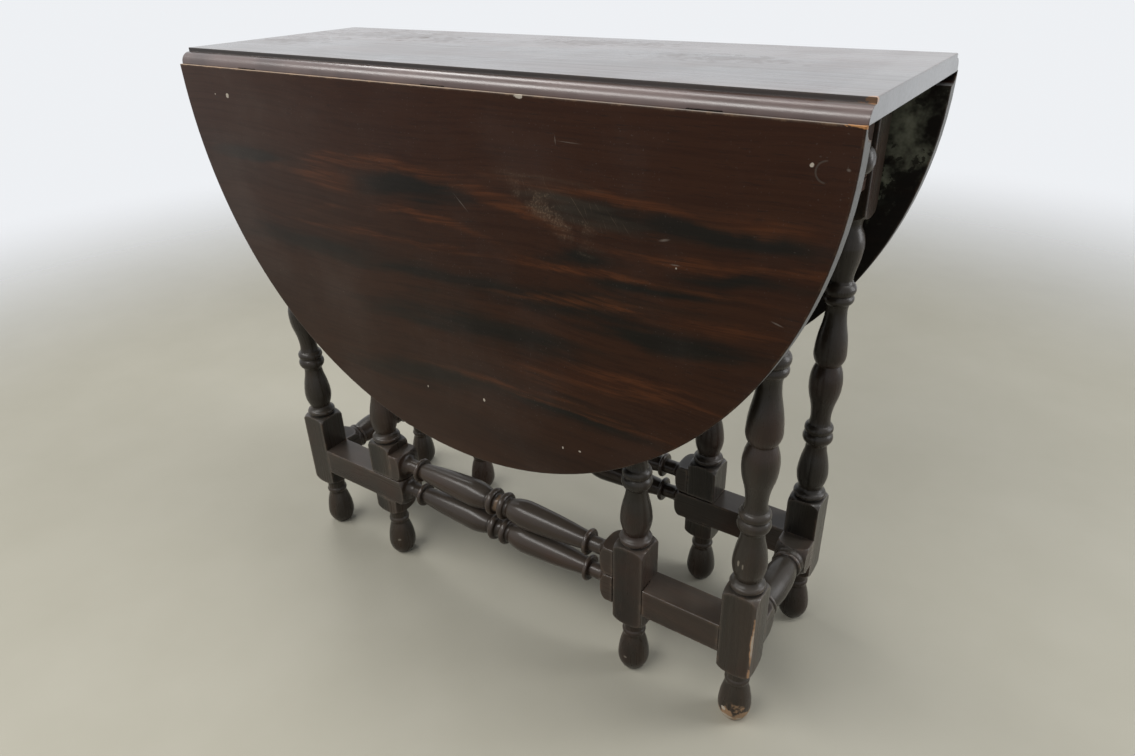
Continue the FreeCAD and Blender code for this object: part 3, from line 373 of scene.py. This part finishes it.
# The bare wood of the drawer's box
BARE_STOPS = [(0.3, colour(0.14, 0.08, 0.042)), (0.5, colour(0.24, 0.15, 0.082)),
              (0.68, colour(0.34, 0.225, 0.13))]
BARE_SHADE = colour(0.7, 0.66, 0.62)
BARE_STAIN = colour(0.08, 0.06, 0.045)


def bare_wood(grain):
    look = Wood(f"inner_wood_{grain}", grain)
    look.figure(1.5, 22.0, BARE_STOPS)
    look.cross_grain(BARE_SHADE)
    look.roughen(0.58, 0.7)
    look.paint(look.remap(look.clouds, 0.5, 0.78, 0.0, 0.4), BARE_STAIN)
    return look.finish(0.35, bump_strength=0.3)


LEAF_STOPS = [(0.3, colour(0.022, 0.0086, 0.0042)), (0.5, colour(0.0295, 0.011, 0.005)),
              (0.7, colour(0.037, 0.0138, 0.006))]
LEAF_SHADE = colour(0.74, 0.7, 0.68)
LEAF_BROWN = colour(0.0315, 0.0108, 0.0042)
LEAF_DARK = colour(0.0072, 0.0064, 0.0045)
LEAF_FLAME = colour(0.088, 0.0285, 0.0095)
LEAF_BLOOM = colour(0.1, 0.083, 0.077)
LEAF_SPECK = colour(0.12, 0.1, 0.085)
# A pale grey painted sheen, standing for the reflection on the left of the front leaf
LEAF_PAINTED_SHEEN = colour(0.108, 0.084, 0.069)
LEAF_SCUFF = colour(0.25, 0.18, 0.125)
LEAF_INSIDE = colour(0.0085, 0.008, 0.0068)
LEAF_BARE = colour(0.34, 0.22, 0.13)
LEAF_SCRATCH = colour(0.24, 0.21, 0.18)
MOULD = colour(0.38, 0.4, 0.31)
LIP_TINT = colour(0.46, 0.33, 0.23)
CORNER_CHIP = colour(0.5, 0.24, 0.09)

# Where things are on the hanging leaves, in metres: the front leaf's outer face along Y, the heights between
# which the plain brown, the mould and the lip fade in, how the painted sheen thins out to the right and
# upwards, and the mould, the chipped corner and the curled scratch
LEAF_FRONT = -0.1575
PLAIN_HEIGHTS = (0.645, 0.675)
MOULD_HEIGHTS = (0.56, 0.7)
LIP_HEIGHTS = (0.7374, 0.7384)
SHEEN_SLOPE = (1.0, 0.0, 0.9)
SHEEN_ENDS = (0.6, 0.22)
MOULD_CENTRE = (0.385, 0.14, 0.685)
MOULD_RADII = (0.07, 0.08, 0.075)
CORNER_CENTRE = (0.428, LEAF_FRONT, 0.739)
CORNER_RADII = (0.012, 0.01, 0.003)
CURL_CENTRE = (0.407, LEAF_FRONT, 0.702)
CURL_RADIUS = 0.0085

# The leaf's figure: ends along X and Z, half the height, and how far the middle rises, of dark patches
# and of rusty lines
LEAF_SHADOWS = [
    ((-0.42, 0.629), (-0.23, 0.638), 0.011, 0.003),
    ((-0.15, 0.61), (0.05, 0.624), 0.018, 0.012),
    ((0.1, 0.644), (0.27, 0.633), 0.015, 0.001),
    ((0.22, 0.638), (0.43, 0.637), 0.014, 0.0),
    ((-0.39, 0.525), (0.02, 0.531), 0.017, 0.009),
    ((-0.03, 0.522), (0.31, 0.546), 0.02, 0.004),
    ((0.13, 0.586), (0.225, 0.594), 0.009, 0.001),
    ((0.275, 0.585), (0.425, 0.607), 0.009, 0.004),
    ((0.18, 0.564), (0.365, 0.583), 0.008, 0.002),
    ((-0.13, 0.474), (0.19, 0.486), 0.019, 0.0),
    ((0.15, 0.517), (0.39, 0.531), 0.012, -0.003),
    ((-0.2, 0.384), (0.1, 0.405), 0.018, 0.002),
    ((0.05, 0.404), (0.265, 0.409), 0.012, 0.005),
]
LEAF_FLAMES = [
    ((-0.25, 0.634), (0.05, 0.641), 0.008, 0.013),
    ((0.015, 0.648), (0.195, 0.605), 0.009, 0.002),
    ((-0.24, 0.63), (-0.13, 0.61), 0.015, 0.0),
    ((-0.17, 0.593), (0.08, 0.587), 0.005, 0.013),
    ((-0.4, 0.559), (0.08, 0.571), 0.0045, 0.0),
    ((0.05, 0.574), (0.43, 0.587), 0.0038, -0.002),
    ((0.095, 0.658), (0.345, 0.649), 0.0045, 0.0),
    ((0.29, 0.652), (0.44, 0.651), 0.008, -0.002),
    ((0.18, 0.607), (0.43, 0.617), 0.006, -0.006),
    ((0.04, 0.523), (0.31, 0.546), 0.008, 0.009),
    ((0.23, 0.542), (0.38, 0.555), 0.007, -0.002),
    ((-0.05, 0.414), (0.28, 0.413), 0.006, 0.003),
    ((0.1, 0.445), (0.32, 0.468), 0.016, 0.001),
]

# Marks on the front leaf: chips by their place along X and Z and half their size, scratches by their ends
# and half their width, and the bands that the scuffs and the slanting scratches lie in: ends, half the
# height, rise, and how ragged
LEAF_CHIPS = [
    ((-0.344, 0.706), (0.0036, 0.0032)),
    ((-0.369, 0.706), (0.0013, 0.0013)),
    ((0.395, 0.706), (0.0022, 0.0024)),
    ((0.283, 0.6), (0.0012, 0.0014)),
    ((0.15, 0.358), (0.0016, 0.0026)),
    ((0.173, 0.361), (0.002, 0.0014)),
    ((-0.055, 0.378), (0.0012, 0.002)),
    ((0.037, 0.386), (0.0016, 0.0022)),
    ((0.112, 0.7372), (0.006, 0.0026)),
]
CHIP_DEPTH = 0.004
LEAF_SCRATCHES = [
    ((0.153, 0.7005), (0.185, 0.7), 0.0006),
    ((0.1525, 0.705), (0.1535, 0.696), 0.0007),
    ((0.021, 0.631), (0.039, 0.614), 0.0005),
    ((0.265, 0.623), (0.275, 0.6255), 0.0012),
    ((0.277, 0.6025), (0.287, 0.603), 0.0008),
    ((0.376, 0.5695), (0.387, 0.5665), 0.0008),
    ((0.422, 0.706), (0.425, 0.705), 0.0011),
]
SCUFF_BAND = ((0.095, 0.661), (0.2, 0.602), 0.017, -0.003, 0.6)
SCRAPE_BAND = ((0.095, 0.658), (0.215, 0.633), 0.016, 0.002, 0.9)
SCRAPE_LEANS = (0.9, 1.25)
SCRAPE_SIZE = (0.04, 1.0, 0.0013)


class LeafWood(Wood):
    """The wood of the leaves, with its figure and marks placed on their faces."""

    def __init__(self):
        super().__init__("leaf_wood", "x")
        waves = self.noise(self.place, scale=13.0, detail=4.0, roughness=0.6).outputs["Color"]
        self.wavy = self.vector("ADD", self.place, self.swing(waves, (0.0, 0.0, 0.021)))

    def band(self, start, end, half_height, rise, ragged, straight=False):
        """A soft mask about a line across the leaf, torn along the grain."""
        run = Vector((end[0] - start[0], 0.0, end[1] - start[1]))
        across_line = Vector((-run.z, 0.0, run.x))
        middle = ((start[0] + end[0]) / 2, 0.0, (start[1] + end[1]) / 2)
        offset = self.vector("SUBTRACT", self.place if straight else self.wavy, middle)
        along = self.vector("DOT_PRODUCT", offset, run * 2.0 / run.length_squared)
        across = self.vector("DOT_PRODUCT", offset, across_line / (run.length * half_height))
        if rise:
            arch = self.math("SUBTRACT", 1.0, self.math("POWER", along, 2.0))
            across = self.math("SUBTRACT", across, self.math("MULTIPLY", arch, rise / half_height))
        flat_offset = self.node("ShaderNodeCombineXYZ", {"X": along, "Y": across}).outputs[0]
        torn = self.remap(self.wisps, 0.25, 0.75, ragged, -ragged)
        return self.remap(self.math("ADD", self.vector("LENGTH", flat_offset), torn), 1.35, 0.15)

    def bands(self, lines, ragged, share):
        """The bands of several lines as one mask."""
        mask = self.band(*lines[0], ragged)
        for line in lines[1:]:
            mask = self.math("MAXIMUM", mask, self.band(*line, ragged))
        return self.math("MULTIPLY", mask, share)

    def outer_front(self):
        """A mask of the front leaf's outer face."""
        in_front = self.remap(self.part(self.place, "Y"), 0.0, -0.05)
        return self.math("MULTIPLY", in_front, self.remap(self.part(self.facing, "Y"), -0.8, -0.95))

    def inner_face(self):
        """A mask of the faces that look towards the middle of the table."""
        side = self.math("SIGN", self.part(self.place, "Y"))
        outwards = self.math("MULTIPLY", self.part(self.facing, "Y"), side)
        return self.remap(outwards, -0.5, -0.8)

    def scuffs(self):
        """Rubbed specks and fine slanting scratches in one place on the front leaf."""
        patches = self.remap(self.noise(self.place, scale=60.0).outputs["Fac"], 0.4, 0.6)
        specks = self.noise(self.place, scale=420.0, detail=4.0, roughness=0.75).outputs["Fac"]
        specks = self.math("MULTIPLY", self.remap(specks, 0.46, 0.72, 0.12, 0.5), patches)
        rubbed = self.math("MULTIPLY", specks, self.band(*SCUFF_BAND))
        lines = 0.0
        for lean in SCRAPE_LEANS:
            turned = self.node("ShaderNodeMapping", {"Vector": self.place, "Rotation": (0.0, lean, 0.0),
                                                     "Scale": SCRAPE_SIZE}, vector_type="TEXTURE").outputs[0]
            found = self.remap(self.noise(turned).outputs["Fac"], 0.64, 0.76, 0.07, 0.3)
            lines = self.math("MAXIMUM", found, lines)
        scraped = self.math("MULTIPLY", lines, self.band(*SCRAPE_BAND))
        return self.math("MULTIPLY", self.math("MAXIMUM", rubbed, scraped), self.outer_front())

    def curl(self, centre, radius):
        """A thin scratch that runs round the left half of a circle."""
        offset = self.vector("SUBTRACT", self.place, centre)
        offset = self.vector("DIVIDE", offset, (radius, radius, radius))
        line = self.math("ABSOLUTE", self.math("SUBTRACT", self.vector("LENGTH", offset), 1.0))
        left_half = self.remap(self.part(offset, "X"), 0.1, -0.2)
        return self.math("MULTIPLY", self.remap(line, 0.13, 0.04), left_half)

    def lay_figure(self):
        """Plain brown at the top of the leaf, with dark patches and rusty lines below it."""
        self.figure(1.2, 15.0, LEAF_STOPS)
        self.paint(self.remap(self.part(self.swayed, "Z"), *PLAIN_HEIGHTS, 0.0, 0.8), LEAF_BROWN)
        self.paint(self.bands(LEAF_SHADOWS, 0.45, 0.95), LEAF_DARK)
        fine_lines = self.remap(self.streaks, 0.3, 0.62, 1.0, 0.35)
        self.paint(self.math("MULTIPLY", self.bands(LEAF_FLAMES, 0.5, 0.8), fine_lines), LEAF_FLAME)
        self.cross_grain(LEAF_SHADE)

    def lay_bloom_and_sheen(self):
        """A cloudy bloom and fine specks all over, and a painted sheen on the low left of the front leaf."""
        self.paint(self.remap(self.clouds, 0.45, 0.75, 0.0, 0.09), LEAF_BLOOM, 0.3)
        specks = self.remap(self.noise(self.place, scale=420.0).outputs["Fac"], 0.66, 0.74, 0.0, 0.3)
        self.paint(self.math("MULTIPLY", specks, self.remap(self.clouds, 0.35, 0.6)), LEAF_SPECK)
        # Painted sheen: the front leaf's outer face is lightened in clouds that thin out to the right and
        # upwards
        low_left = self.remap(self.vector("DOT_PRODUCT", self.place, SHEEN_SLOPE), *SHEEN_ENDS)
        painted_sheen = self.math("MULTIPLY", low_left, self.outer_front())
        cloudy = self.remap(self.clouds, 0.3, 0.7, 0.11, 0.22)
        self.paint(self.math("MULTIPLY", painted_sheen, cloudy), LEAF_PAINTED_SHEEN)

    def lay_mould(self, inside):
        """A dark inner face with pale mould high up on it, most of all at the back leaf's right end."""
        self.paint(self.math("MULTIPLY", inside, 0.9), LEAF_INSIDE, 0.3)
        blotches = self.noise(self.place, scale=11.0, detail=5.0, roughness=0.65).outputs["Fac"]
        mould = self.math("MULTIPLY", inside, self.remap(blotches, 0.46, 0.68))
        high = self.remap(self.part(self.place, "Z"), *MOULD_HEIGHTS, 0.05, 0.3)
        patch = self.math("MULTIPLY", mould, self.spot(MOULD_CENTRE, MOULD_RADII, 1.0, 0.8))
        self.paint(self.math("MAXIMUM", self.math("MULTIPLY", mould, high), patch), MOULD, 0.2)

    def lay_edges(self, rim):
        """Painted light on the rim, worn corners, and a bare lip along the rule joint that is faint on the
        right.
        """
        # Painted light: every edge face of the leaves is laid pale grey
        self.paint(self.math("MULTIPLY", rim, self.remap(self.chips, 0.2, 0.45, 0.55, 0.95)), PAINTED_RIM_LIGHT, 0.2)
        self.wear(reach=0.0022, line=0.8, bare=0.4, tint=LEAF_BARE)
        lip = self.remap(self.part(self.place, "Z"), *LIP_HEIGHTS)
        lip = self.math("MULTIPLY", lip, self.remap(self.part(self.place, "X"), 0.3, -0.1, 0.3, 1.0))
        self.paint(self.math("MULTIPLY", lip, self.remap(self.chips, 0.3, 0.6, 0.5, 0.95)), LIP_TINT, 0.2)
        self.paint(self.spot(CORNER_CENTRE, CORNER_RADII, 0.8), CORNER_CHIP, 0.2)

    def lay_marks(self):
        """The chips, scratches and curl on the front leaf."""
        for (x, z), (half_width, half_height) in LEAF_CHIPS:
            chip = self.spot((x, LEAF_FRONT, z), (half_width, CHIP_DEPTH, half_height), 0.85, 0.3)
            self.paint(chip, CHIP, 0.3)
        for start, end, half_width in LEAF_SCRATCHES:
            scratch = self.band(start, end, half_width, rise=0.0, ragged=0.3, straight=True)
            scratch = self.math("MULTIPLY", scratch, self.outer_front())
            self.paint(self.math("MULTIPLY", scratch, 0.4), LEAF_SCRATCH, 0.3)
        self.paint(self.math("MULTIPLY", self.curl(CURL_CENTRE, CURL_RADIUS), 0.25), DUST_AND_TOP_LIGHT, 0.3)


def leaf_wood():
    look = LeafWood()
    look.lay_figure()
    look.roughen(0.33, 0.42)
    look.lay_bloom_and_sheen()
    look.paint(look.scuffs(), LEAF_SCUFF, 0.4)
    inside = look.inner_face()
    look.lay_mould(inside)
    rim = look.math("SUBTRACT", 1.0, look.facing_share("Y", 0.3, 0.6))
    look.lay_edges(rim)
    look.lay_marks()
    grazing = look.remap(look.node("ShaderNodeLayerWeight", {}).outputs["Facing"], 0.5, 0.72, 0.0, 0.85)
    outer = look.math("SUBTRACT", 1.0, look.math("MAXIMUM", rim, inside))
    look.coat(look.math("MULTIPLY", grazing, outer), roughness=0.2)
    return look.finish(0.12)


TOP_STOPS = [(0.3, colour(0.012, 0.0075, 0.006)), (0.45, colour(0.026, 0.0125, 0.009)),
             (0.6, colour(0.05, 0.0215, 0.0135)), (0.75, UMBER)]
TOP_SHADE = colour(0.66, 0.62, 0.6)
TOP_HAZE = colour(0.14, 0.115, 0.105)
TOP_STAIN = colour(0.05, 0.03, 0.022)
# Pale grey painted reflection for the end faces of the top
TOP_END_REFLECTION = colour(0.15, 0.154, 0.156)
END_STRIP = colour(0.26, 0.26, 0.255)
TOP_CORNER = colour(0.45, 0.23, 0.1)
OVOLO_TINT = colour(0.105, 0.066, 0.059)

# Where things are on the top, in metres: its face, the heights between which the painted shade on its riser
# fades in and its ovolo fades out, where the paler strip at the right end fades in along X, and the chipped
# front right corner
TOP_HEIGHT = 0.756
RISER_SHADE_HEIGHTS = (0.7505, 0.7515)
OVOLO_HEIGHTS = (0.7508, 0.75)
END_STRIP_PLACES = (0.388, 0.4)
TOP_CORNER_CENTRE = (0.43, -0.14, 0.755)
TOP_CORNER_RADII = (0.009, 0.004, 0.004)

# Dull stains on the top: place along X and Y, and half the length and width
TOP_STAINS = [
    ((-0.3, 0.07), (0.1, 0.035)),
    ((-0.36, -0.02), (0.05, 0.03)),
    ((-0.16, 0.05), (0.05, 0.025)),
    ((0.05, 0.09), (0.09, 0.02)),
    ((0.24, 0.02), (0.07, 0.02)),
]
STAIN_DEPTH = 0.01


def top_wood():
    look = Wood("top_wood", "x")
    look.figure(1.2, 15.0, TOP_STOPS)
    look.cross_grain(TOP_SHADE)
    look.roughen(0.24, 0.34)
    look.paint(look.math("MULTIPLY", look.remap(look.clouds, 0.4, 0.72), 0.4), TOP_HAZE, 0.15)
    polish = look.remap(look.clouds, 0.35, 0.7, 0.85, 0.6)
    for (x, y), (half_length, half_width) in TOP_STAINS:
        stain = look.spot((x, y, TOP_HEIGHT), (half_length, half_width, STAIN_DEPTH), 1.0, 1.1)
        look.paint(look.math("MULTIPLY", stain, 0.35), TOP_STAIN, 0.1)
        polish = look.math("SUBTRACT", polish, look.math("MULTIPLY", stain, 0.22), clamp=True)
    height = look.part(look.place, "Z")
    at_end = look.remap(look.part(look.place, "X"), *END_STRIP_PLACES, 0.0, 0.2)
    look.paint(look.math("MULTIPLY", look.remap(look.up, 0.8, 0.97), at_end), END_STRIP, 0.1)
    end_face = look.facing_share("X")
    # Painted reflection: the end faces of the top are laid pale grey
    look.paint(look.math("MULTIPLY", end_face, look.remap(look.chips, 0.2, 0.5, 0.6, 0.95)), TOP_END_REFLECTION, 0.2)
    look.wear(reach=0.002, line=0.6, bare=0.5)
    look.paint(look.spot(TOP_CORNER_CENTRE, TOP_CORNER_RADII, 0.8), TOP_CORNER, 0.2)
    # Painted shade: the riser under the top's edge is darkened towards near black, and its polish is taken
    # off
    riser_shade = look.math("MULTIPLY", look.facing_share("Y"), look.remap(height, *RISER_SHADE_HEIGHTS))
    look.paint(look.math("MULTIPLY", riser_shade, 0.7), GRIME_AND_SHADE, 0.4)
    polish = look.math("MULTIPLY", polish, look.math("SUBTRACT", 1.0, riser_shade))
    ovolo = look.math("MULTIPLY", look.remap(height, *OVOLO_HEIGHTS), look.math("SUBTRACT", 1.0, end_face))
    look.paint(look.math("MULTIPLY", ovolo, look.remap(look.clouds, 0.35, 0.6, 0.3, 0.8)), OVOLO_TINT, 0.12)
    polish = look.math("MULTIPLY", polish, look.remap(ovolo, 0.0, 1.0, 1.0, 0.6))
    look.coat(polish, roughness=0.2)
    return look.finish(0.5)


IRON_STOPS = [(0.35, colour(0.05, 0.047, 0.045)), (0.58, colour(0.11, 0.1, 0.095)),
              (0.75, colour(0.16, 0.08, 0.045))]
PITTING_DEPTH = 0.0003


def iron():
    """Dull dark iron, spotted with rust."""
    look = Looks("iron")
    spots = look.noise(look.place, scale=140.0, detail=5.0, roughness=0.65).outputs["Fac"]
    look.put(look.shader.inputs["Base Color"], look.ramp(spots, IRON_STOPS))
    look.shader.inputs["Metallic"].default_value = 0.85
    look.put(look.shader.inputs["Roughness"], look.remap(spots, 0.3, 0.8, 0.4, 0.7))
    bump = look.node("ShaderNodeBump", {"Strength": 0.25, "Distance": PITTING_DEPTH, "Height": spots})
    look.put(look.shader.inputs["Normal"], bump.outputs["Normal"])
    return look.material


def make_materials():
    """A material for each slot of the record, by the way that its grain runs."""
    made = {("top_wood", "x"): top_wood(), ("leaf_wood", "x"): leaf_wood()}
    metal = iron()
    for grain in AXES:
        made["turned_wood", grain] = turned_wood(grain)
        made["rail_wood", grain] = rail_wood(grain)
        made["inner_wood", grain] = bare_wood(grain)
        made["iron", grain] = metal
    return made


def grain_of(name):
    """The axis that a piece of wood is longest along."""
    low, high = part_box(name)
    extent = high - low
    return "xyz"[max(range(3), key=lambda i: extent[i])]


def dress():
    made = make_materials()
    for row in frame["record"]["subparts"]:
        piece = nodes[row["node"]]
        piece.data.materials.clear()
        piece.data.materials.append(made[row["material_slot"], grain_of(row["node"])])


# Half the floor's width, and how far from the middle it starts and ends to fade, in metres
FLOOR_HALF = 14.0
FLOOR_FADE = (1.2, 2.9)
FLOOR_STOPS = [(0.3, colour(0.41, 0.395, 0.325)), (0.7, colour(0.45, 0.435, 0.365))]


def make_floor():
    """A plain pale floor that fades into the background."""
    corners = [(-FLOOR_HALF, -FLOOR_HALF, 0), (FLOOR_HALF, -FLOOR_HALF, 0),
               (FLOOR_HALF, FLOOR_HALF, 0), (-FLOOR_HALF, FLOOR_HALF, 0)]
    mesh = bpy.data.meshes.new("floor")
    mesh.from_pydata(corners, [], [(0, 1, 2, 3)])
    floor = bpy.data.objects.new("floor", mesh)
    bpy.context.scene.collection.objects.link(floor)
    look = Looks("floor")
    specks = look.noise(look.place, scale=3.0, detail=4.0, roughness=0.6).outputs["Fac"]
    look.put(look.shader.inputs["Base Color"], look.ramp(specks, FLOOR_STOPS))
    look.shader.inputs["Roughness"].default_value = 0.6
    far = look.vector("LENGTH", look.place)
    look.put(look.shader.inputs["Alpha"], look.remap(far, *FLOOR_FADE, 1.0, 0.0))
    mesh.materials.append(look.material)


make_camera()
make_world()
make_lamps()
make_floor()
dress()
bpy.context.scene.view_settings.view_transform = "Standard"
